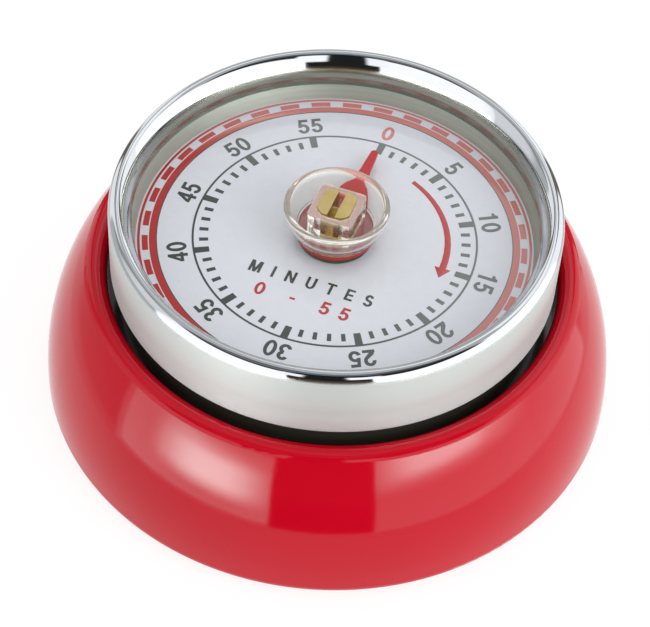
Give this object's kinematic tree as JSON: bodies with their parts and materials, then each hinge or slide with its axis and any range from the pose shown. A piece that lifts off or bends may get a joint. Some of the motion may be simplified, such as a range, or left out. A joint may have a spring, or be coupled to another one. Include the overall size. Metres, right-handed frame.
{
  "type": "kitchen timer",
  "caption": "Round wind-up minute timer on its back: domed enamelled steel body, chrome bezel, open printed dial, red pointer and clear cup knob, geared movement with bell and magnet back.",
  "frame": {"origin": "centre of the resting face at the back, on the knob axis", "axes": "+Z out of the dial along the knob axis, +Y towards the 0 mark, +X towards the 15 minute side"},
  "size_m": [0.07, 0.07, 0.03],
  "materials": {
    "red_enamel": "gloss",
    "chrome": "mirror",
    "satin_steel": "satin",
    "white_lacquer": "gloss",
    "black_moulding": "satin",
    "ferrite": "ground",
    "zinc_steel": "zinc plated",
    "bright_steel": "turned",
    "brass": "turned",
    "blue_spring_steel": "tempered",
    "gong_steel": "nickel plated",
    "clear_acrylic": "polished, clear",
    "red_paint": "gloss"
  },
  "bodies": {
    "case": {"body_shell": "red_enamel", "bezel": "chrome", "dial_well_ring": "satin_steel", "dial": "white_lacquer", "carrier": "black_moulding", "rear_cover": "black_moulding", "magnet": "ferrite", "magnet_keeper": "zinc_steel", "cover_screws": "zinc_steel", "frame_screws": "zinc_steel", "top_plate": "zinc_steel", "bottom_plate": "zinc_steel", "pillars": "bright_steel", "pillar_nuts": "zinc_steel", "shaft_bushes": "brass", "mainspring": "blue_spring_steel", "mainspring_post": "bright_steel", "release_lever_stud": "bright_steel", "gong": "gong_steel", "gong_spacer": "bright_steel", "gong_screw": "zinc_steel"},
    "knob_group": {"main_shaft": "brass", "knob": "clear_acrylic", "pointer": "red_paint", "pointer_bush": "brass", "great_wheel": "brass", "ratchet_wheel": "bright_steel", "pawl": "bright_steel", "pawl_rivet": "brass", "alarm_cam": "bright_steel"},
    "second_group": {"second_arbor": "bright_steel", "second_wheel": "brass"},
    "third_group": {"third_arbor": "bright_steel", "third_wheel": "brass"},
    "escape_group": {"escape_arbor": "bright_steel", "escape_wheel": "brass"},
    "pallet_group": {"pallet_arbor": "bright_steel", "pallet_lever": "bright_steel", "pallet_pins": "bright_steel", "inertia_ring": "brass"},
    "hammer_group": {"hammer_arbor": "bright_steel", "hammer_arm": "zinc_steel", "hammer_head": "brass", "hammer_tail": "zinc_steel", "hammer_spring": "blue_spring_steel"},
    "release_group": {"release_lever": "zinc_steel"}
  },
  "joints": [
    {"name": "knob_turn", "type": "hinge", "parent": "case", "child": "knob_group", "pos_m": [0, 0, 0.027], "axis": [0, 0, 1], "range_deg": [-330, 0], "deforming": ["mainspring"]},
    {"name": "second_turn", "type": "hinge", "parent": "case", "child": "second_group", "pos_m": [-0.01316, -0.00479, 0.012], "axis": [0, 0, 1], "range_deg": [-1, 1981]},
    {"name": "third_turn", "type": "hinge", "parent": "case", "child": "third_group", "pos_m": [-0.00912, -0.01216, 0.012], "axis": [0, 0, 1], "range_deg": [-9901, 1]},
    {"name": "escape_turn", "type": "hinge", "parent": "case", "child": "escape_group", "pos_m": [-0.00329, -0.01525, 0.012], "axis": [0, 0, 1], "range_deg": [-1, 44551]},
    {"name": "pallet_rock", "type": "hinge", "parent": "case", "child": "pallet_group", "pos_m": [0.0029, -0.01553, 0.012], "axis": [0, 0, 1], "range_deg": [-5, 5]},
    {"name": "hammer_swing", "type": "hinge", "parent": "case", "child": "hammer_group", "pos_m": [-0.00875, 0.01516, 0.006], "axis": [0, 0, 1], "range_deg": [-5, 8], "stiffness_Nm_per_rad": 0.0002, "deforming": ["hammer_spring"]},
    {"name": "release_drop", "type": "hinge", "parent": "case", "child": "release_group", "pos_m": [0.01212, 0.007, 0.0097], "axis": [0, 0, 1], "range_deg": [0, 6]}
  ],
  "couplings": [
    {"joint": "second_turn", "follows": "knob_turn", "ratio": -6},
    {"joint": "third_turn", "follows": "knob_turn", "ratio": 30},
    {"joint": "escape_turn", "follows": "knob_turn", "ratio": -135}
  ]
}
